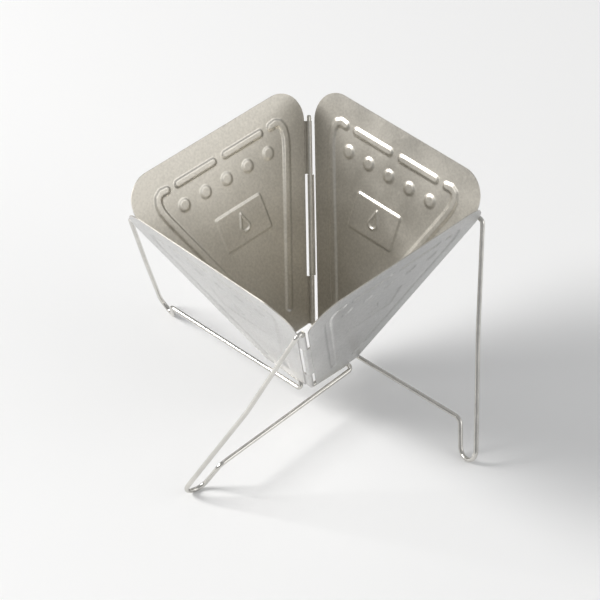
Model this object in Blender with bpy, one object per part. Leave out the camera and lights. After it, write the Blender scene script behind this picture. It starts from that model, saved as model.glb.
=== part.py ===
"""Folding four-panel drip funnel on three wire legs.

Four pressed steel panels are hinged edge to edge and make an upside-down pyramid that holds a
paper filter. A bent wire runs through three of the four hinges: it is the hinge's pin, and outside
the funnel it is the leg. A plain pin closes the fourth hinge, at the back.

All four hinge axes meet in one point, the apex of the pyramid. Every object has its origin there,
so every moving piece has its origin on its own joint's axis. Metres, +Z up, +X right, +Y back.
"""

import math

import bmesh
import bpy
from mathutils import Matrix, Vector

MM = 0.001

# Pyramid: the panels' edges would meet in its corners
RIM_HALF_DIAGONAL = 80.0 * MM
APEX_DEPTH = 117.2 * MM
PANEL_TOP = 130.8 * MM
PANEL_BOTTOM = 32.2 * MM
TOP_CORNER_RADIUS = 12.4 * MM
BOTTOM_CORNER_RADIUS = 0.5 * MM

# Sheet, wire and the rolled hinge barrels
SHEET_THICKNESS = 0.5 * MM
WIRE_RADIUS = 1.0 * MM
BARREL_CLEARANCE = 0.2 * MM
EDGE_GAP = 0.1 * MM
KNUCKLE_GAP = 0.3 * MM
OPEN_PIVOT_GAP = 0.2 * MM
KNUCKLE_LIP = 0.1 * MM

# The outer knuckles' lengths; the middle one takes what is left between them
TOP_KNUCKLE = 23.1 * MM
BOTTOM_KNUCKLE = 21.0 * MM

# Leg wire: along the hinge from the apex, out from it in the leg's plane, and aside from that plane
LEG_ANGLE = math.radians(-46.05)
KNEE = (90.3 * MM, 34.1 * MM, 0.7 * MM)
KNEE_RADIUS = 60.0 * MM
FOOT = (51.4 * MM, 65.8 * MM, 0.0 * MM)
FOOT_RADIUS = 5.1 * MM
HEEL = (55.5 * MM, 53.5 * MM, 2.1 * MM)
HEEL_RADIUS = 4.0 * MM
WIRE_END_GAP = 4.0 * MM

# The same wire where it leaves the hinge, above its top and below its bottom
HAIRPIN_RISE = 3.4 * MM
HAIRPIN_WIDTH = 3.4 * MM
HAIRPIN_RADIUS = 2.0 * MM
RETURN_DROP = 2.9 * MM
RETURN_END = (9.8 * MM, -18.8 * MM, 2.2 * MM)
BRACE_END = (12.7 * MM, -18.8 * MM, 5.0 * MM)
RETURN_RADIUS = 1.45 * MM

# Back hinge pin
PIN_PROUD = 2.6 * MM
PIN_BELOW = 1.0 * MM

BARREL_SIDES = 24
WIRE_SIDES_SETTING = 4
ARC_STEP = math.radians(15.0)

BARREL_BORE = WIRE_RADIUS + BARREL_CLEARANCE
BARREL_RADIUS = BARREL_BORE + SHEET_THICKNESS
EDGE_SETBACK = BARREL_RADIUS + EDGE_GAP
SIDE_LENGTH = math.hypot(RIM_HALF_DIAGONAL, APEX_DEPTH)
PANEL_HALF_ANGLE = math.asin(RIM_HALF_DIAGONAL / math.sqrt(2.0) / SIDE_LENGTH)

# The top knuckle ends where the top corner's rounding starts, and the bottom one likewise
EDGE_RISE = EDGE_SETBACK * math.sin(PANEL_HALF_ANGLE)
TOP_CORNER_OPENING = math.pi / 2.0 - PANEL_HALF_ANGLE
BOTTOM_CORNER_OPENING = math.pi / 2.0 + PANEL_HALF_ANGLE
BARREL_TOP = (PANEL_TOP - EDGE_RISE) / math.cos(PANEL_HALF_ANGLE) - (
    TOP_CORNER_RADIUS / math.tan(TOP_CORNER_OPENING / 2.0)
)
BARREL_BOTTOM = (PANEL_BOTTOM - EDGE_RISE) / math.cos(PANEL_HALF_ANGLE) + (
    BOTTOM_CORNER_RADIUS / math.tan(BOTTOM_CORNER_OPENING / 2.0)
)
UPPER_JOINT = BARREL_TOP - TOP_KNUCKLE
LOWER_JOINT = BARREL_BOTTOM + BOTTOM_KNUCKLE

# The four hinges, by the direction in which they lie, and whose panel rolls the middle knuckle
RIGHT, BACK, LEFT, FRONT = (math.radians(d) for d in (0.0, 90.0, 180.0, -90.0))


def clear_scene():
    for old in list(bpy.data.objects):
        bpy.data.objects.remove(old, do_unlink=True)


def steel(name, colour, roughness):
    material = bpy.data.materials.new(name)
    material.use_nodes = True
    shader = material.node_tree.nodes["Principled BSDF"]
    shader.inputs["Base Color"].default_value = (*colour, 1.0)
    shader.inputs["Metallic"].default_value = 1.0
    shader.inputs["Roughness"].default_value = roughness
    return material


def hinge_axes(azimuth):
    """Unit vectors of a hinge: along its axis, outwards from the funnel, and counterclockwise."""
    radial = Vector((math.cos(azimuth), math.sin(azimuth), 0.0))
    up = Vector((0.0, 0.0, 1.0))
    along = (radial * RIM_HALF_DIAGONAL + up * APEX_DEPTH) / SIDE_LENGTH
    around = up.cross(radial)
    return along, around.cross(along), around


def columns(x_axis, y_axis, z_axis):
    return Matrix((x_axis, y_axis, z_axis)).transposed().to_4x4()


def hinge_frame(azimuth, turn):
    """Frame with Z along the hinge and X turned out of the vertical plane through it."""
    along, outward, around = hinge_axes(azimuth)
    x_axis = outward * math.cos(turn) + around * math.sin(turn)
    return columns(x_axis, along.cross(x_axis), along)


def panel_frame(azimuth):
    """Frame of the panel from this hinge to the next: X across, Y up the slope, Z outwards."""
    first = hinge_axes(azimuth)[0]
    second = hinge_axes(azimuth + math.pi / 2.0)[0]
    across = (second - first).normalized()
    upslope = (second + first).normalized()
    return columns(across, upslope, across.cross(upslope))


def finish(name, data, frame, material):
    obj = bpy.data.objects.new(name, data)
    bpy.context.scene.collection.objects.link(obj)
    obj.matrix_world = frame
    data.materials.append(material)
    return obj


def mesh_from(name, bm, smooth_angle):
    bmesh.ops.remove_doubles(bm, verts=bm.verts, dist=1e-7)
    bmesh.ops.recalc_face_normals(bm, faces=bm.faces)
    mesh = bpy.data.meshes.new(name)
    bm.to_mesh(mesh)
    bm.free()
    mesh.shade_smooth()
    mesh.set_sharp_from_angle(angle=math.radians(smooth_angle))
    return mesh


def fillet(before, corner, after, radius):
    """Points of an arc that rounds a corner."""
    back = (before - corner).normalized()
    ahead = (after - corner).normalized()
    opening = back.angle(ahead)
    tangent = radius / math.tan(opening / 2.0)
    centre = corner + (back + ahead).normalized() * radius / math.sin(opening / 2.0)
    start = corner + back * tangent - centre
    end = corner + ahead * tangent - centre
    steps = max(2, math.ceil((math.pi - opening) / ARC_STEP))
    sweep = start.angle(end)
    return [
        centre + (start * math.sin(sweep * (1.0 - i / steps)) + end * math.sin(sweep * i / steps))
        / math.sin(sweep)
        for i in range(steps + 1)
    ]


def rounded(corners, closed):
    """Polyline through corners given as (point, radius), with each corner rounded."""
    points = []
    count = len(corners)
    for i, (corner, radius) in enumerate(corners):
        if radius == 0.0 or (not closed and i in (0, count - 1)):
            points.append(corner)
            continue
        before = corners[i - 1][0]
        after = corners[(i + 1) % count][0]
        points += fillet(before, corner, after, radius)
    return points


# Panels

def knuckle_spans(middle):
    """Stretches of a hinge that one panel's knuckles take: the middle one, or the outer two."""
    half = KNUCKLE_GAP / 2.0
    if middle:
        return [(LOWER_JOINT + half, UPPER_JOINT - half)]
    return [(BARREL_BOTTOM, LOWER_JOINT - half), (UPPER_JOINT + half, BARREL_TOP)]


def edge_point(side, along, inset):
    """Point on a panel, at a distance along one of its two hinges and inset from it."""
    x = along * math.sin(PANEL_HALF_ANGLE) - inset * math.cos(PANEL_HALF_ANGLE)
    y = along * math.cos(PANEL_HALF_ANGLE) + inset * math.sin(PANEL_HALF_ANGLE)
    return Vector((side * x, y, 0.0))


def edge_at_height(side, height, inset):
    """Where the edge line of a panel reaches a height up the slope."""
    along = (height - inset * math.sin(PANEL_HALF_ANGLE)) / math.cos(PANEL_HALF_ANGLE)
    return edge_point(side, along, inset)


def sheet_outline(setbacks, tabs):
    """Outline of the sheet, round the panel; tabs add the points where the knuckles join."""
    left, right = setbacks
    corners = [
        (edge_at_height(-1, PANEL_BOTTOM, left), BOTTOM_CORNER_RADIUS),
        (edge_at_height(1, PANEL_BOTTOM, right), BOTTOM_CORNER_RADIUS),
    ]
    for span in tabs[1]:
        corners += [(edge_point(1, s, right), 0.0) for s in span]
    corners += [
        (edge_at_height(1, PANEL_TOP, right), TOP_CORNER_RADIUS),
        (edge_at_height(-1, PANEL_TOP, left), TOP_CORNER_RADIUS),
    ]
    for span in reversed(tabs[0]):
        corners += [(edge_point(-1, s, left), 0.0) for s in reversed(span)]
    return rounded(corners, closed=True)


def knuckle_profile():
    """Section of a rolled knuckle with its tab: outer and inner points of the ring, then the tab.

    X is the distance from the axis into the panel and Y is outwards, square to the panel.
    """
    first_step = round(math.acos(BARREL_BORE / BARREL_RADIUS) / (2.0 * math.pi) * BARREL_SIDES)
    ring = []
    for i in range(BARREL_SIDES + 1):
        angle = 2.0 * math.pi * i / BARREL_SIDES
        direction = Vector((math.sin(angle), math.cos(angle)))
        ring.append((direction * BARREL_RADIUS, direction * BARREL_BORE))
    reach = math.sqrt(BARREL_RADIUS**2 - BARREL_BORE**2)
    ring[first_step] = (Vector((reach, BARREL_BORE)), ring[first_step][1])
    return ring, first_step


def add_knuckle(bm, side, span, setback, joined):
    """Rolls one knuckle onto a panel; a knuckle that isn't joined keeps the end of its tab."""
    ring, first_step = knuckle_profile()
    across = Vector((-side * math.cos(PANEL_HALF_ANGLE), math.sin(PANEL_HALF_ANGLE), 0.0))
    along = Vector((side * math.sin(PANEL_HALF_ANGLE), math.cos(PANEL_HALF_ANGLE), 0.0))

    def place(point):
        return bm.verts.new(along * span[0] + across * point.x + Vector((0.0, 0.0, point.y)))

    outer = [place(o) for o, _ in ring[:-1]]
    inner = [place(i) for _, i in ring[:-1]]
    tab_outside = place(Vector((setback, BARREL_RADIUS)))
    tab_inside = place(Vector((setback, BARREL_BORE)))
    faces = []
    for i in range(first_step, BARREL_SIDES):
        j = (i + 1) % BARREL_SIDES
        faces.append(bm.faces.new((outer[i], outer[j], inner[j], inner[i])))
    tab = [outer[0], tab_outside, tab_inside, outer[first_step]]
    tab += [inner[i] for i in range(first_step, -1, -1)]
    faces.append(bm.faces.new(tab))

    swept = bmesh.ops.extrude_face_region(bm, geom=faces, use_keep_orig=True)
    new_verts = [g for g in swept["geom"] if isinstance(g, bmesh.types.BMVert)]
    bmesh.ops.translate(bm, verts=new_verts, vec=along * (span[1] - span[0]))
    if joined:
        remove_tab_end(bm, tab_outside, tab_inside)


def remove_tab_end(bm, first, second):
    """Opens the end of a tab, where it joins the sheet."""
    shared = [f for f in first.link_faces if f in second.link_faces and len(f.verts) == 4]
    bmesh.ops.delete(bm, geom=shared, context="FACES_ONLY")


def add_sheet(bm, outline, tab_ends):
    """Flat sheet, offset outwards so that its outer face is flush with the barrels."""
    inside = [bm.verts.new(p + Vector((0.0, 0.0, BARREL_BORE))) for p in outline]
    outside = [bm.verts.new(p + Vector((0.0, 0.0, BARREL_RADIUS))) for p in outline]
    bm.faces.new(inside)
    bm.faces.new(outside)
    count = len(outline)
    for i in range(count):
        j = (i + 1) % count
        middle = (outline[i] + outline[j]) / 2.0
        if any((middle - end).length < KNUCKLE_GAP for end in tab_ends):
            continue
        bm.faces.new((inside[i], inside[j], outside[j], outside[i]))


def make_panel(name, azimuth, middle_knuckles, material, open_side=None):
    """One panel. middle_knuckles says, for its first and second hinge, which knuckles it rolls."""
    bm = bmesh.new()
    setbacks = [EDGE_SETBACK, EDGE_SETBACK]
    tabs = [knuckle_spans(middle) for middle in middle_knuckles]
    if open_side is not None:
        setbacks[open_side] += OPEN_PIVOT_GAP
        tabs[open_side] = []
    tab_ends = []
    for index, side in enumerate((-1, 1)):
        for span in tabs[index]:
            add_knuckle(bm, side, span, setbacks[index], joined=True)
            tab_ends.append(edge_point(side, sum(span) / 2.0, setbacks[index]))
    add_sheet(bm, sheet_outline(setbacks, tabs), tab_ends)
    return finish(name, mesh_from(name, bm, 30.0), PLACE @ panel_frame(azimuth), material)


def make_loose_knuckle(name, azimuth, side, material):
    """The middle knuckle of the back hinge, parted from its panel by the open pivot's gap."""
    bm = bmesh.new()
    lip = math.sqrt(BARREL_RADIUS**2 - BARREL_BORE**2) + KNUCKLE_LIP
    for span in knuckle_spans(middle=True):
        add_knuckle(bm, side, span, lip, joined=False)
    return finish(name, mesh_from(name, bm, 30.0), PLACE @ panel_frame(azimuth), material)


# Legs and pin

def leg_route():
    """Route of a leg's wire as (point, bend radius), from one end in the barrel to the other."""
    def at(along, out, aside):
        return Vector((out, aside, along))

    knee, foot, heel = at(*KNEE), at(*FOOT), at(*HEEL)
    down = (foot - knee).normalized()
    across = (foot - heel) - down * (foot - heel).dot(down)
    across.normalize()
    wire_end = (LOWER_JOINT + UPPER_JOINT) / 2.0
    return [
        (at(wire_end - WIRE_END_GAP / 2.0, 0.0, 0.0), 0.0),
        (at(BARREL_BOTTOM - RETURN_DROP, 0.0, 0.0), RETURN_RADIUS),
        (at(BARREL_BOTTOM - RETURN_END[0], *RETURN_END[1:]), RETURN_RADIUS),
        (at(BARREL_BOTTOM - BRACE_END[0], *BRACE_END[1:]), RETURN_RADIUS),
        (heel, HEEL_RADIUS),
        (foot + (down - across) * FOOT_RADIUS, FOOT_RADIUS * 0.98),
        (foot + (down + across) * FOOT_RADIUS, FOOT_RADIUS * 0.98),
        (knee, KNEE_RADIUS),
        (at(BARREL_TOP + HAIRPIN_RISE, HAIRPIN_WIDTH, 0.0), HAIRPIN_RADIUS),
        (at(BARREL_TOP + HAIRPIN_RISE, 0.0, 0.0), HAIRPIN_RADIUS),
        (at(wire_end + WIRE_END_GAP / 2.0, 0.0, 0.0), 0.0),
    ]


def make_leg(name, azimuth, material):
    points = rounded(leg_route(), closed=False)
    curve = bpy.data.curves.new(name, "CURVE")
    curve.dimensions = "3D"
    curve.bevel_depth = WIRE_RADIUS
    curve.bevel_resolution = WIRE_SIDES_SETTING
    curve.use_fill_caps = True
    spline = curve.splines.new("POLY")
    spline.points.add(len(points) - 1)
    for slot, point in zip(spline.points, points):
        slot.co = (*point, 1.0)
    return finish(name, curve, PLACE @ hinge_frame(azimuth, LEG_ANGLE), material)


def make_pin(name, azimuth, material):
    """Straight pin with domed ends, turned about the hinge axis."""
    bottom = BARREL_BOTTOM - PIN_BELOW
    top = BARREL_TOP + PIN_PROUD
    steps = 4
    arcs = [math.pi / 2.0 * i / steps for i in range(steps + 1)]
    profile = [(WIRE_RADIUS * math.sin(a), top - WIRE_RADIUS * (1.0 - math.cos(a))) for a in arcs]
    profile += [
        (WIRE_RADIUS * math.cos(a), bottom + WIRE_RADIUS * (1.0 - math.sin(a))) for a in arcs
    ]
    bm = bmesh.new()
    verts = [bm.verts.new((r, 0.0, s)) for r, s in profile]
    edges = [bm.edges.new(pair) for pair in zip(verts, verts[1:])]
    bmesh.ops.spin(bm, geom=verts + edges, axis=(0.0, 0.0, 1.0), cent=(0.0, 0.0, 0.0),
                   angle=2.0 * math.pi, steps=BARREL_SIDES // 2, use_merge=True)
    return finish(name, mesh_from(name, bm, 40.0), PLACE @ hinge_frame(azimuth, 0.0), material)


# Assembly

def resting_place():
    """Moves the apex so that the feet stand on the ground and the whole is centred over the origin."""
    frame = hinge_frame(RIGHT, LEG_ANGLE)
    wire = [frame @ p for p in rounded(leg_route(), closed=False)]
    foot_depth = min(p.z for p in wire) - WIRE_RADIUS
    leg_reach = max(p.x for p in wire) + WIRE_RADIUS
    outline = sheet_outline([EDGE_SETBACK, EDGE_SETBACK], [[], []])
    sheet = panel_frame(RIGHT)
    panel_reach = max((sheet @ (p + Vector((0.0, 0.0, BARREL_RADIUS)))).x for p in outline)
    return Matrix.Translation((0.0, (leg_reach - panel_reach) / 2.0, -foot_depth))


clear_scene()
sheet_steel = steel("pressed_sheet_steel", (0.62, 0.60, 0.57), 0.32)
wire_steel = steel("leg_wire_steel", (0.66, 0.65, 0.62), 0.18)
pin_steel = steel("hinge_pin_steel", (0.70, 0.68, 0.64), 0.16)

PLACE = resting_place()

make_panel("front_left_panel", LEFT, (False, False), sheet_steel)
make_panel("front_right_panel", FRONT, (True, True), sheet_steel)
make_panel("back_right_panel", RIGHT, (False, True), sheet_steel, open_side=1)
make_panel("back_left_panel", BACK, (False, True), sheet_steel)
make_loose_knuckle("back_hinge_knuckle", RIGHT, 1, sheet_steel)
make_pin("back_hinge_pin", BACK, pin_steel)
make_leg("left_leg", LEFT, wire_steel)
make_leg("front_leg", FRONT, wire_steel)
make_leg("right_leg", RIGHT, wire_steel)
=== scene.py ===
# %% [markdown]
# # A folding drip funnel on wire legs
# Four thin steel panels, hinged edge to edge, hold a paper filter over a cup. The exact model of
# the hinges and the wire is loaded first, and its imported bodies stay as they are. What follows
# adds what the plain solids leave out: the pressing in the panels, the rolled knuckles, the round
# polished wire and the steel itself.

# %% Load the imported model
import math

import bpy
import numpy as np
from mathutils import Matrix, Vector


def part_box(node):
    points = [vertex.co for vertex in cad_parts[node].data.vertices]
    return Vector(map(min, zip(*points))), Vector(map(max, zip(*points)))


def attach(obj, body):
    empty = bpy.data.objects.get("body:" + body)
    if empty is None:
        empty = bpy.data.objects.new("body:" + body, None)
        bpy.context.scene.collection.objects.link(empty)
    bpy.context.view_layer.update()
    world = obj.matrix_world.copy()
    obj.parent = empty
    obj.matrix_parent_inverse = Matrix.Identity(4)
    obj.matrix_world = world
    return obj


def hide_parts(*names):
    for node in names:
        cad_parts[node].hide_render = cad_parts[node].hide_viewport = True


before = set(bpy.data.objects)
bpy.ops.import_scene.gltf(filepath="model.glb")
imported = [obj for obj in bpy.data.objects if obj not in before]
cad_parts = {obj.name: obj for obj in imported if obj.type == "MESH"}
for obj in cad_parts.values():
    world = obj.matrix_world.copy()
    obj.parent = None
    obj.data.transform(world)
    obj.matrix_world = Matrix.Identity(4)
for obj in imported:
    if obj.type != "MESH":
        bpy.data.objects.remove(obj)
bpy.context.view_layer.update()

# %% [markdown]
# The funnel is a square pyramid standing on its tip. All four hinges run through that tip, so one
# point and one angle place everything: a hinge is a line from the tip to a corner of the rim, and
# a panel lies between two of them. The tip is found from the back hinge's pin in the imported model.

# %% The pyramid
MM = 0.001
RIM_HALF_DIAGONAL = 80.0 * MM
TIP_DEPTH = 117.2 * MM
SIDE_LENGTH = math.hypot(RIM_HALF_DIAGONAL, TIP_DEPTH)
PANEL_HALF_ANGLE = math.asin(RIM_HALF_DIAGONAL / math.sqrt(2.0) / SIDE_LENGTH)
WIRE_RADIUS = 1.0 * MM
BORE = 1.2 * MM
SHEET = 0.5 * MM
EDGE_GAP = 0.1 * MM
OPEN_EDGE_GAP = 0.2 * MM
KNUCKLE_GAP = 0.3 * MM
LOOSE_KNUCKLE_LIP = 1.3 * MM
BARREL_BOTTOM, LOWER_JOINT = 34.656 * MM, 55.656 * MM
UPPER_JOINT, BARREL_TOP = 99.831 * MM, 122.931 * MM
PIN_BELOW, PIN_PROUD = 1.0 * MM, 2.6 * MM
PIN_BOTTOM, PIN_TOP = BARREL_BOTTOM - PIN_BELOW, BARREL_TOP + PIN_PROUD
RIGHT, BACK, LEFT, FRONT = (math.radians(d) for d in (0.0, 90.0, 180.0, -90.0))


def hinge_axes(azimuth):
    """Along the hinge, outwards from the funnel, and counterclockwise round it."""
    radial = Vector((math.cos(azimuth), math.sin(azimuth), 0.0))
    up = Vector((0.0, 0.0, 1.0))
    along = (radial * RIM_HALF_DIAGONAL + up * TIP_DEPTH) / SIDE_LENGTH
    around = up.cross(radial)
    return along, around.cross(along), around


def columns(x_axis, y_axis, z_axis):
    return Matrix((x_axis, y_axis, z_axis)).transposed().to_4x4()


pin_low, pin_high = (Vector(corner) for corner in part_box("back_hinge_pin"))
back_along = hinge_axes(BACK)[0]
pin_middle = (pin_low + pin_high) / 2.0
TIP = pin_middle - back_along * (PIN_BOTTOM + PIN_TOP) / 2.0
TIP.x = 0.0
print("tip of the pyramid at", [round(c * 1000, 2) for c in TIP], "mm")

# %% [markdown]
# Every piece is made flat, at the world's origin, where it is easy to think about, and its mesh is
# then moved to its place. Its object stays at the origin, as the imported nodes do.

# %% Helpers for making and placing a piece


def deselect():
    if bpy.context.object and bpy.context.object.mode != "OBJECT":
        bpy.ops.object.mode_set(mode="OBJECT")
    bpy.ops.object.select_all(action="DESELECT")


def select_only(*objects):
    deselect()
    for obj in objects:
        obj.select_set(True)
    bpy.context.view_layer.objects.active = objects[0]


def apply_modifiers(obj):
    select_only(obj)
    for modifier in list(obj.modifiers):
        bpy.ops.object.modifier_apply(modifier=modifier.name)


def place(obj, matrix):
    obj.data.transform(Matrix.Translation(TIP) @ matrix)
    if matrix.to_3x3().determinant() < 0.0:
        obj.data.flip_normals()
    obj.data.update()


def smooth(obj, angle):
    select_only(obj)
    bpy.ops.object.shade_smooth_by_angle(angle=math.radians(angle))


def panel_frame(azimuth):
    """X across the panel, Y up its slope from the tip, Z outwards."""
    first = hinge_axes(azimuth)[0]
    second = hinge_axes(azimuth + math.pi / 2.0)[0]
    across = (second - first).normalized()
    upslope = (second + first).normalized()
    return columns(across, upslope, across.cross(upslope))


def hinge_frame(azimuth, turn):
    """Z along the hinge, X turned about it out of the upright plane."""
    along, outward, around = hinge_axes(azimuth)
    x_axis = outward * math.cos(turn) + around * math.sin(turn)
    return columns(x_axis, along.cross(x_axis), along)


# %% [markdown]
# ## The pressed panels
# The real panel is a trapezoid of half-millimetre sheet. A press has drawn beads, dimples and a
# badge plate into it, which stiffen the sheet and hold the paper off the wall. They could be cut
# out and extruded one by one, but then each would need its own rounded walls. Here the depth of
# the pressing is described once, as a height over the flat panel: a bead is everything within half
# its width of a line, flat in the middle, with sloping walls. A fine grid is then cut to the
# outline and lowered by that height. The sheet gets its thickness last, so both of its faces carry
# the same pressing, as a real die leaves them.

# %% What the press draws
BEAD_HALF_WIDTH = 2.1 * MM
BEAD_FLAT = 0.55
BEAD_DEPTH = 0.5 * MM
TOP_BEAD = [(3.6, 119.3), (23.4, 119.3)]
SIDE_BEAD = [(6.3, 43.9), (34.2, 107.6), (35.7, 112.0), (36.0, 115.5), (35.0, 118.3), (32.7, 119.6),
             (29.9, 119.3)]
DIMPLES = [(0.0, 109.5), (12.1, 109.5), (24.2, 109.5)]
DIMPLE_RADIUS = 3.2 * MM
DIMPLE_FLAT = 0.66
DIMPLE_DEPTH = 0.4 * MM
BADGE_CENTRE = (0.0, 88.1)
BADGE_HALF = (13.3, 8.55)
BADGE_CORNER = 1.6 * MM
BADGE_WALL = 0.8 * MM
BADGE_DEPTH = 0.38 * MM
DROP_MIDDLE, DROP_TIP = 87.0 * MM, 93.4 * MM
DROP_RADIUS = 2.6 * MM
DROP_LINE = 0.3 * MM
DROP_LINE_FADE = 0.55 * MM


def ramp(distance, start, width):
    """1 inside start, falling smoothly to 0 over width."""
    t = np.clip((start + width - distance) / width, 0.0, 1.0)
    return t * t * (3.0 - 2.0 * t)


def distance_to_line(x, y, points):
    best = np.full(x.shape, 1.0)
    for (ax, ay), (bx, by) in zip(points, points[1:]):
        ax, ay, bx, by = (c * MM for c in (ax, ay, bx, by))
        dx, dy = bx - ax, by - ay
        t = np.clip(((x - ax) * dx + (y - ay) * dy) / (dx * dx + dy * dy), 0.0, 1.0)
        best = np.minimum(best, np.hypot(x - ax - t * dx, y - ay - t * dy))
    return best


def drop_edge(x, y):
    """Distance from the outline of the drop on the badge, less than 0 inside it."""
    taper = np.clip((DROP_TIP - y) / (DROP_TIP - DROP_MIDDLE), 0.0, 1.0)
    edge = np.hypot(x, y - DROP_MIDDLE) - DROP_RADIUS
    edge = np.where(y > DROP_MIDDLE, x - DROP_RADIUS * taper, edge)
    return np.where(y > DROP_TIP, 1.0, edge)


def pressing(x, y):
    """Depth of the pressing at a point of the panel, the same left and right."""
    x = np.abs(x)
    bead = np.minimum(distance_to_line(x, y, TOP_BEAD), distance_to_line(x, y, SIDE_BEAD))
    wall = BEAD_HALF_WIDTH * (1.0 - BEAD_FLAT)
    depth = BEAD_DEPTH * ramp(bead, BEAD_HALF_WIDTH * BEAD_FLAT, wall)
    for cx, cy in DIMPLES:
        r = np.hypot(x - cx * MM, y - cy * MM)
        disc = ramp(r, DIMPLE_RADIUS * DIMPLE_FLAT, DIMPLE_RADIUS * (1.0 - DIMPLE_FLAT))
        depth = np.maximum(depth, DIMPLE_DEPTH * disc)
    across = np.maximum(x - BADGE_HALF[0] * MM + BADGE_CORNER, 0.0)
    upright = np.abs(y - BADGE_CENTRE[1] * MM) - BADGE_HALF[1] * MM
    upright = np.maximum(upright + BADGE_CORNER, 0.0)
    badge = ramp(np.hypot(across, upright), BADGE_CORNER - BADGE_WALL, BADGE_WALL)
    line = ramp(np.abs(drop_edge(x, y) + DROP_LINE), DROP_LINE / 2.0, DROP_LINE_FADE)
    return np.maximum(depth, BADGE_DEPTH * badge) + DROP_LINE * line * badge


# %% [markdown]
# The outline is cut with the Bisect tool, which slices the mesh with a plane and throws away what
# is past it. Two cuts make the slanting sides, and a fan of cuts, each turned a little further,
# rounds each top corner. The grid's own edges are the top and the bottom.

# %% Cutting a blank
PANEL_TOP, PANEL_BOTTOM = 130.8 * MM, 32.2 * MM
TOP_CORNER_RADIUS = 12.4 * MM
EDGE_SETBACK = BORE + SHEET + EDGE_GAP
BLANK_WIDTH = 116.0 * MM
GRID_STEP = 0.45 * MM
CORNER_CUTS = 14


def cut(point, normal):
    bpy.ops.mesh.select_all(action="SELECT")
    bpy.ops.mesh.bisect(plane_co=point, plane_no=normal, clear_outer=True, threshold=1e-7)


def corner_centre(side, inset):
    """Centre of the rounding of a top corner."""
    y = PANEL_TOP - TOP_CORNER_RADIUS
    x = y * math.tan(PANEL_HALF_ANGLE) - (inset + TOP_CORNER_RADIUS) / math.cos(PANEL_HALF_ANGLE)
    return Vector((side * x, y, 0.0))


def blank(name, insets):
    height = PANEL_TOP - PANEL_BOTTOM
    deselect()
    bpy.ops.mesh.primitive_grid_add(
        x_subdivisions=round(BLANK_WIDTH / GRID_STEP), y_subdivisions=round(height / GRID_STEP),
        size=1.0, location=(0.0, (PANEL_TOP + PANEL_BOTTOM) / 2.0, BORE))
    sheet = bpy.context.object
    sheet.name = name
    sheet.scale = (BLANK_WIDTH, height, 1.0)
    bpy.ops.object.transform_apply(location=True, rotation=True, scale=True)
    bpy.ops.object.mode_set(mode="EDIT")
    for side, inset in zip((-1, 1), insets):
        side_normal = Vector((side * math.cos(PANEL_HALF_ANGLE), -math.sin(PANEL_HALF_ANGLE), 0.0))
        cut(-side_normal * inset, side_normal)
        centre = corner_centre(side, inset)
        sweep = math.pi / 2.0 + PANEL_HALF_ANGLE
        for i in range(CORNER_CUTS):
            turn = math.pi / 2.0 - sweep * (i + 0.5) / CORNER_CUTS
            normal = Vector((side * math.cos(turn), math.sin(turn), 0.0))
            cut(centre + normal * TOP_CORNER_RADIUS, normal)
    bpy.ops.object.mode_set(mode="OBJECT")
    return sheet


def press(sheet):
    """Lowers the grid's points into the funnel by the depth of the pressing."""
    count = len(sheet.data.vertices)
    co = np.empty(count * 3)
    sheet.data.vertices.foreach_get("co", co)
    co = co.reshape(-1, 3)
    co[:, 2] -= pressing(co[:, 0], co[:, 1])
    sheet.data.vertices.foreach_set("co", co.ravel())
    sheet.data.update()


def thicken(obj, offset):
    solid = obj.modifiers.new("sheet", "SOLIDIFY")
    solid.thickness = SHEET
    solid.offset = offset
    solid.use_even_offset = True
    apply_modifiers(obj)


# %% [markdown]
# ## The rolled knuckles
# A knuckle isn't a separate tube: it is a tongue of the same sheet, rolled round a rod. So it is
# made the way a smith would, starting from a flat tongue whose end edge is spun nearly all the way
# round the hinge line. The little slit that is left is the seam that such a roll always shows.

# %% Rolling a knuckle
ROLL_STEPS = 30
ROLL_ANGLE = math.radians(338.0)
TOUCHING = 1e-6


def knuckle(side, span, setback):
    """Made along Y with the tongue towards +X, then laid along one side of the flat panel."""
    deselect()
    bpy.ops.mesh.primitive_plane_add(
        size=1.0, location=(setback / 2.0, (span[0] + span[1]) / 2.0, BORE))
    roll = bpy.context.object
    roll.scale = (setback, span[1] - span[0], 1.0)
    bpy.ops.object.transform_apply(location=True, rotation=True, scale=True)
    for edge in roll.data.edges:
        edge.select = all(abs(roll.data.vertices[v].co.x) < TOUCHING for v in edge.vertices)
    for face in roll.data.polygons:
        face.select = False
    for vertex in roll.data.vertices:
        vertex.select = abs(vertex.co.x) < TOUCHING
    bpy.ops.object.mode_set(mode="EDIT")
    bpy.ops.mesh.select_mode(type="EDGE")
    bpy.ops.mesh.spin(
        steps=ROLL_STEPS, angle=ROLL_ANGLE, center=(0.0, 0.0, 0.0), axis=(0.0, 1.0, 0.0))
    bpy.ops.mesh.select_mode(type="VERT")
    bpy.ops.mesh.select_all(action="SELECT")
    bpy.ops.mesh.remove_doubles(threshold=TOUCHING)
    bpy.ops.mesh.normals_make_consistent(inside=False)
    bpy.ops.object.mode_set(mode="OBJECT")
    across = Vector((-side * math.cos(PANEL_HALF_ANGLE), math.sin(PANEL_HALF_ANGLE), 0.0))
    along = Vector((side * math.sin(PANEL_HALF_ANGLE), math.cos(PANEL_HALF_ANGLE), 0.0))
    roll.data.transform(columns(across, along, Vector((0.0, 0.0, 1.0))))
    tongue = max(roll.data.polygons, key=lambda face: face.center.dot(across))
    if tongue.normal.z < 0.0:
        roll.data.flip_normals()
    thicken(roll, 1.0)
    return roll


def spans(middle):
    half = KNUCKLE_GAP / 2.0
    if middle:
        return [(LOWER_JOINT + half, UPPER_JOINT - half)]
    return [(BARREL_BOTTOM, LOWER_JOINT - half), (UPPER_JOINT + half, BARREL_TOP)]


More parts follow.
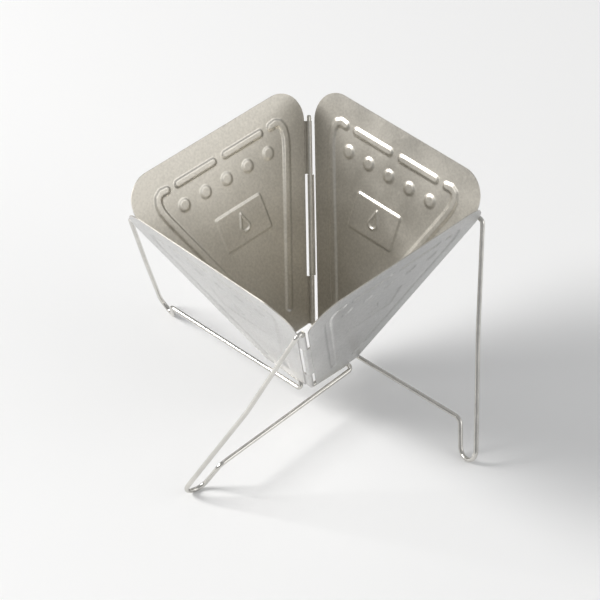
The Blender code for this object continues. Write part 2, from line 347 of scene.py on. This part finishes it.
# %% [markdown]
# ## Four panels
# Neighbours share a hinge: one rolls the middle knuckle, the other the two outer ones. The back
# right panel stands a hair further off the back hinge, where the loop of hinges is left open so
# that the model can fold.

# %% Making the panels


def make_panel(name, azimuth, middles, node, body, open_second=False):
    insets = [EDGE_SETBACK, EDGE_SETBACK + (OPEN_EDGE_GAP if open_second else 0.0)]
    sheet = blank(name, insets)
    press(sheet)
    thicken(sheet, 1.0)
    parts = [sheet]
    for side, inset, middle in zip((-1, 1), insets, middles):
        if open_second and side == 1:
            continue
        parts += [knuckle(side, span, inset) for span in spans(middle)]
    select_only(*parts)
    bpy.ops.object.join()
    panel = bpy.context.object
    panel.name = name
    place(panel, panel_frame(azimuth))
    smooth(panel, 32.0)
    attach(panel, body)
    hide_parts(node)
    print(name, len(panel.data.polygons), "faces")
    return panel


panels = [
    make_panel("front_left_pressed", LEFT, (False, False), "front_left_panel", "front_left"),
    make_panel("front_right_pressed", FRONT, (True, True), "front_right_panel", "front_right"),
    make_panel("back_right_pressed", RIGHT, (False, True), "back_right_panel", "back_right", True),
    make_panel("back_left_pressed", BACK, (False, True), "back_left_panel", "back_left"),
]

# %% The loose middle knuckle of the back hinge
back_knuckle = knuckle(1, spans(True)[0], LOOSE_KNUCKLE_LIP)
back_knuckle.name = "back_knuckle_rolled"
place(back_knuckle, panel_frame(RIGHT))
smooth(back_knuckle, 32.0)
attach(back_knuckle, "back_left")
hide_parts("back_hinge_knuckle")

# %% [markdown]
# ## The hinge pin
# A cut length of bright rod. Its ends are domed by bevelling the rims of a cylinder, which is
# what tumbling does to the real one.

# %% The back pin
PIN_SIDES = 32
PIN_DOME = 0.8 * MM
PIN_DOME_STEPS = 5
deselect()
bpy.ops.mesh.primitive_cylinder_add(
    vertices=PIN_SIDES, radius=WIRE_RADIUS, depth=PIN_TOP - PIN_BOTTOM,
    location=(0.0, 0.0, (PIN_TOP + PIN_BOTTOM) / 2.0))
pin = bpy.context.object
pin.name = "back_pin_bright"
bpy.ops.object.transform_apply(location=True, rotation=True, scale=True)
bpy.ops.object.mode_set(mode="EDIT")
bpy.ops.mesh.select_all(action="DESELECT")
bpy.ops.mesh.select_mode(type="FACE")
bpy.ops.object.mode_set(mode="OBJECT")
for face in pin.data.polygons:
    face.select = abs(face.normal.z) > 0.9
bpy.ops.object.mode_set(mode="EDIT")
bpy.ops.mesh.bevel(offset=PIN_DOME, segments=PIN_DOME_STEPS, affect="EDGES")
bpy.ops.object.mode_set(mode="OBJECT")
place(pin, hinge_frame(BACK, 0.0))
smooth(pin, 40.0)
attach(pin, "back_left")
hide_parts("back_hinge_pin")

# %% [markdown]
# ## The wire legs
# One wire makes a leg: it starts inside the hinge, comes out under the panels, doubles back on
# itself, runs out to the foot, turns up to the top of the hinge and goes back in. Its route is a
# handful of corners, each with the radius of its bend. A curve with a bevel could be bent by hand,
# but bends of a known radius come out cleaner when each corner is rounded by sums. The rounded
# line gets a round section, and the same leg turned by a quarter serves each hinge.

# %% Route of the wire
LEG_TURN = math.radians(-46.05)
KNEE_RADIUS, FOOT_RADIUS, HEEL_RADIUS = 60.0 * MM, 5.1 * MM, 4.0 * MM
HAIRPIN_RADIUS, RETURN_RADIUS = 2.0 * MM, 1.45 * MM
WIRE_END_GAP = 4.0
ROUTE = {
    "knee": (90.3, 34.1, 0.7), "foot": (51.4, 65.8, 0.0), "heel": (55.5, 53.5, 2.1),
    "brace end": (21.96, -18.8, 5.0), "return end": (24.86, -18.8, 2.2),
    "return start": (31.76, 0.0, 0.0), "hairpin": (126.33, 3.4, 0.0)}
WIRE_END = 77.74
BEND_STEP = math.radians(7.5)


def on_leg(along, out, aside):
    """A point given in millimetres from the tip: along the hinge, out from it, and aside."""
    return Vector((out, aside, along)) * MM


def fillet(before, corner, after, radius):
    back = (before - corner).normalized()
    ahead = (after - corner).normalized()
    opening = back.angle(ahead)
    reach = radius / math.tan(opening / 2.0)
    centre = corner + (back + ahead).normalized() * radius / math.sin(opening / 2.0)
    start, end = corner + back * reach - centre, corner + ahead * reach - centre
    sweep = start.angle(end)
    steps = max(3, math.ceil(sweep / BEND_STEP))
    return [
        centre + (start * math.sin(sweep * (1.0 - i / steps)) + end * math.sin(sweep * i / steps))
        / math.sin(sweep) for i in range(steps + 1)]


def leg_corners():
    knee, foot, heel = (on_leg(*ROUTE[k]) for k in ("knee", "foot", "heel"))
    down = (foot - knee).normalized()
    across = ((foot - heel) - down * (foot - heel).dot(down)).normalized()
    r = FOOT_RADIUS
    toe_radius = r * 0.98
    return [
        (on_leg(WIRE_END - WIRE_END_GAP / 2.0, 0.0, 0.0), 0.0),
        (on_leg(*ROUTE["return start"]), RETURN_RADIUS),
        (on_leg(*ROUTE["return end"]), RETURN_RADIUS),
        (on_leg(*ROUTE["brace end"]), RETURN_RADIUS),
        (heel, HEEL_RADIUS),
        (foot + (down - across) * r, toe_radius),
        (foot + (down + across) * r, toe_radius),
        (knee, KNEE_RADIUS),
        (on_leg(*ROUTE["hairpin"]), HAIRPIN_RADIUS),
        (on_leg(ROUTE["hairpin"][0], 0.0, 0.0), HAIRPIN_RADIUS),
        (on_leg(WIRE_END + WIRE_END_GAP / 2.0, 0.0, 0.0), 0.0)]


corners = leg_corners()
wire_line = [corners[0][0]]
for (before, _), (corner, radius), (after, _) in zip(corners, corners[1:], corners[2:]):
    wire_line += fillet(before, corner, after, radius)
wire_line.append(corners[-1][0])
length = sum((b - a).length for a, b in zip(wire_line, wire_line[1:]))
print("wire of one leg:", round(length * 1000), "mm")

# %% Three legs


def make_leg(name, azimuth, node, body):
    line = bpy.data.curves.new(name, "CURVE")
    line.dimensions = "3D"
    line.bevel_depth = WIRE_RADIUS
    line.bevel_resolution = 6
    line.use_fill_caps = True
    spline = line.splines.new("POLY")
    spline.points.add(len(wire_line) - 1)
    for slot, point in zip(spline.points, wire_line):
        slot.co = (*point, 1.0)
    leg = bpy.data.objects.new(name, line)
    bpy.context.scene.collection.objects.link(leg)
    select_only(leg)
    bpy.ops.object.convert(target="MESH")
    leg = bpy.context.object
    place(leg, hinge_frame(azimuth, LEG_TURN))
    smooth(leg, 50.0)
    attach(leg, body)
    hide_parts(node)
    return leg


legs = [
    make_leg("left_leg_wire", LEFT, "left_leg", "left_leg"),
    make_leg("front_leg_wire", FRONT, "front_leg", "front_leg"),
    make_leg("right_leg_wire", RIGHT, "right_leg", "right_leg"),
]

# %% [markdown]
# ## Steel
# Satin stainless isn't one grey. The rolling mill leaves a fine grain, handling leaves faint
# smears and hairline scratches, and all of them are mostly changes of roughness, with very little
# colour. Noise at three scales gives them: broad patches, a fine grain that also tilts the surface
# a little, and long thin streaks for the scratches. The faces that look up into the funnel are
# painted a little warmer and darker than the outer ones: a painted reflection, standing in for the
# panels mirroring each other and their shaded parts. The surface's own direction tells them apart.

# %% Sheet steel
SHEET_COLOUR, SHEET_ROUGHNESS = (0.60, 0.575, 0.53), 0.34
SHEET_DARK, SHEET_LIGHT = (0.58, 0.576, 0.566, 1.0), (0.71, 0.706, 0.696, 1.0)
# Painted reflection: a warm, slightly darker tint multiplied onto the inner faces, standing in for
# the panels mirroring each other and their shade.
INNER_REFLECTION_TINT = (1.0, 0.962, 0.885, 1.0)
PATCH_SCALE, SCRATCH_SCALE, SPECKLE_SCALE, GRAIN_SCALE = 38.0, 90.0, 900.0, 2600.0
SCRATCH_STRETCH, SCRATCH_TURN = (1.0, 26.0, 6.0), (0.4, 0.2, 0.9)
SATIN_LOW, SATIN_HIGH = 0.33, 0.43
SCRATCH_ROUGHNESS = 0.14
SHEET_BUMP_STRENGTH, SHEET_BUMP_HEIGHT = 0.22, 0.06 * MM


def new_steel(name, colour, roughness):
    material = bpy.data.materials.new(name)
    material.use_nodes = True
    shader = material.node_tree.nodes["Principled BSDF"]
    shader.inputs["Base Color"].default_value = (*colour, 1.0)
    shader.inputs["Metallic"].default_value = 1.0
    shader.inputs["Roughness"].default_value = roughness
    return material, material.node_tree.nodes, material.node_tree.links, shader


def noise(nodes, links, source, scale, detail, stretch=(1.0, 1.0, 1.0), turn=(0.0, 0.0, 0.0)):
    mapping = nodes.new("ShaderNodeMapping")
    mapping.inputs["Scale"].default_value = stretch
    mapping.inputs["Rotation"].default_value = turn
    texture = nodes.new("ShaderNodeTexNoise")
    texture.inputs["Scale"].default_value = scale
    texture.inputs["Detail"].default_value = detail
    links.new(source, mapping.inputs["Vector"])
    links.new(mapping.outputs["Vector"], texture.inputs["Vector"])
    return texture.outputs["Fac"]


def remap(nodes, links, value, low, high, to_low, to_high):
    node = nodes.new("ShaderNodeMapRange")
    ends = {"From Min": low, "From Max": high, "To Min": to_low, "To Max": to_high}
    for key, number in ends.items():
        node.inputs[key].default_value = number
    links.new(value, node.inputs["Value"])
    return node.outputs["Result"]


def add(nodes, links, first, second):
    node = nodes.new("ShaderNodeMath")
    node.operation = "ADD"
    links.new(first, node.inputs[0])
    links.new(second, node.inputs[1])
    return node.outputs["Value"]


def sheet_steel(name):
    material, nodes, links, shader = new_steel(name, SHEET_COLOUR, SHEET_ROUGHNESS)
    coordinates = nodes.new("ShaderNodeTexCoord")
    position = coordinates.outputs["Object"]
    patches = noise(nodes, links, position, PATCH_SCALE, 3.0)
    grain = noise(nodes, links, position, GRAIN_SCALE, 3.0)
    speckle = noise(nodes, links, position, SPECKLE_SCALE, 2.0)
    scratches = noise(
        nodes, links, position, SCRATCH_SCALE, 1.0, SCRATCH_STRETCH, SCRATCH_TURN)
    tint = nodes.new("ShaderNodeMix")
    tint.data_type = "RGBA"
    tint.inputs["A"].default_value = SHEET_DARK
    tint.inputs["B"].default_value = SHEET_LIGHT
    links.new(remap(nodes, links, add(nodes, links, patches, speckle), 0.75, 1.25, 0.0, 1.0),
              tint.inputs["Factor"])
    # Painted reflection: faces looking up into the funnel get the warm tint multiplied in, standing
    # in for the panels mirroring each other.
    facing = nodes.new("ShaderNodeSeparateXYZ")
    links.new(coordinates.outputs["Normal"], facing.inputs["Vector"])
    inside = remap(nodes, links, facing.outputs["Z"], -0.1, 0.3, 0.0, 1.0)
    painted_reflection = nodes.new("ShaderNodeMix")
    painted_reflection.data_type = "RGBA"
    painted_reflection.blend_type = "MULTIPLY"
    painted_reflection.inputs["B"].default_value = INNER_REFLECTION_TINT
    links.new(inside, painted_reflection.inputs["Factor"])
    links.new(tint.outputs["Result"], painted_reflection.inputs["A"])
    links.new(painted_reflection.outputs["Result"], shader.inputs["Base Color"])
    base = remap(nodes, links, patches, 0.3, 0.7, SATIN_LOW, SATIN_HIGH)
    scratched = remap(nodes, links, scratches, 0.68, 0.74, 0.0, SCRATCH_ROUGHNESS)
    links.new(add(nodes, links, base, scratched), shader.inputs["Roughness"])
    bump = nodes.new("ShaderNodeBump")
    bump.inputs["Strength"].default_value = SHEET_BUMP_STRENGTH
    bump.inputs["Distance"].default_value = SHEET_BUMP_HEIGHT
    links.new(add(nodes, links, grain, speckle), bump.inputs["Height"])
    links.new(bump.outputs["Normal"], shader.inputs["Normal"])
    return material


panel_steel = sheet_steel("satin_sheet_steel")
for piece in panels + [back_knuckle]:
    piece.data.materials.clear()
    piece.data.materials.append(panel_steel)

# %% [markdown]
# The wire is drawn through a die and polished, so it is brighter and shows sharper reflections.
# What is left of the drawing are faint patches of slightly different polish. A noise that steers
# both roughness and colour gives those, where a picture of a wire would stretch along its bends.

# %% Wire steel
WIRE_BUMP_STRENGTH, WIRE_BUMP_HEIGHT = 0.1, 0.04 * MM
POLISH_SCALE, DRAWING_SCALE = 160.0, 2200.0
DARKER, LIGHTER = 0.9, 1.06


def wire_steel(name, colour, low, high):
    material, nodes, links, shader = new_steel(name, colour, low)
    position = nodes.new("ShaderNodeTexCoord").outputs["Object"]
    polish = noise(nodes, links, position, POLISH_SCALE, 4.0)
    grain = noise(nodes, links, position, DRAWING_SCALE, 2.0)
    tint = nodes.new("ShaderNodeMix")
    tint.data_type = "RGBA"
    tint.inputs["A"].default_value = (*(c * DARKER for c in colour), 1.0)
    tint.inputs["B"].default_value = (*(min(1.0, c * LIGHTER) for c in colour), 1.0)
    links.new(remap(nodes, links, polish, 0.3, 0.7, 0.0, 1.0), tint.inputs["Factor"])
    links.new(tint.outputs["Result"], shader.inputs["Base Color"])
    links.new(remap(nodes, links, polish, 0.3, 0.7, low, high), shader.inputs["Roughness"])
    bump = nodes.new("ShaderNodeBump")
    bump.inputs["Strength"].default_value = WIRE_BUMP_STRENGTH
    bump.inputs["Distance"].default_value = WIRE_BUMP_HEIGHT
    links.new(grain, bump.inputs["Height"])
    links.new(bump.outputs["Normal"], shader.inputs["Normal"])
    return material


leg_steel = wire_steel("polished_wire_steel", (0.66, 0.645, 0.61), 0.12, 0.24)
pin_steel = wire_steel("bright_pin_steel", (0.72, 0.69, 0.62), 0.10, 0.2)
for piece in legs:
    piece.data.materials.clear()
    piece.data.materials.append(leg_steel)
pin.data.materials.clear()
pin.data.materials.append(pin_steel)
wire_nodes = {"left_leg": leg_steel, "front_leg": leg_steel, "right_leg": leg_steel,
              "back_hinge_pin": pin_steel}
for name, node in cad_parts.items():
    for slot in node.material_slots:
        slot.material = wire_nodes.get(name, panel_steel)

# %% [markdown]
# ## Studio
# Metal shows its surroundings, so the room matters more than the lamps: a white table, a big soft
# window on the left, a little behind, and a pale card on the right that fills the inner left panel.
# The window's shadow falls to the right, and keeps the outer right panel darker than the left one.

# %% Table, lamps and room
deselect()
TABLE_SIZE = 6.0
bpy.ops.mesh.primitive_plane_add(size=TABLE_SIZE, location=(0.0, 0.0, 0.0))
table = bpy.context.object
table.name = "table"
table_white, _, _, table_shader = new_steel("table_white", (0.93, 0.93, 0.93), 0.6)
table_shader.inputs["Metallic"].default_value = 0.0
table_shader.inputs["Specular IOR Level"].default_value = 0.2
table.data.materials.append(table_white)


def lamp(name, place_at, aim, size, power, colour):
    light = bpy.data.lights.new(name, "AREA")
    light.shape = "RECTANGLE"
    light.size, light.size_y = size
    light.energy = power
    light.color = colour
    obj = bpy.data.objects.new(name, light)
    bpy.context.scene.collection.objects.link(obj)
    obj.location = place_at
    obj.rotation_euler = (Vector(aim) - Vector(place_at)).to_track_quat("-Z", "Y").to_euler()
    return obj


lamp("window", (-1.74, 0.22, 1.16), (0.0, 0.0, 0.03), (0.8, 0.8), 39.0, (1.0, 0.99, 0.975))
lamp("card", (1.15, -0.42, 0.60), (0.0, 0.0, 0.08), (1.1, 0.8), 3.7, (1.0, 0.99, 0.97))

# %% [markdown]
# The wall across from the window is the bright one, because the window lights it. A blend along
# the room's width does that, and it is what the inner left panel mirrors.

# %% The room's light
world = bpy.data.worlds.new("room")
world.use_nodes = True
bpy.context.scene.world = world
room, room_links = world.node_tree.nodes, world.node_tree.links
direction = room.new("ShaderNodeSeparateXYZ")
room_links.new(room.new("ShaderNodeTexCoord").outputs["Generated"], direction.inputs["Vector"])
WINDOW_SIDE, FAR_SIDE = 0.35, 0.57
room_links.new(remap(room, room_links, direction.outputs["X"], -1.0, 1.0, WINDOW_SIDE, FAR_SIDE),
               room["Background"].inputs["Strength"])
room["Background"].inputs["Color"].default_value = (0.94, 0.95, 0.96, 1.0)
bpy.context.scene.view_settings.view_transform = "Standard"

# %% Camera
lens = bpy.data.cameras.new("camera")
lens.lens = 177.04
lens.sensor_width = 36.0
camera = bpy.data.objects.new("camera", lens)
bpy.context.scene.collection.objects.link(camera)
camera.location = (0.04659, -0.94127, 0.87177)
camera.rotation_euler = tuple(math.radians(a) for a in (48.86, 2.115, 1.227))
bpy.context.scene.camera = camera
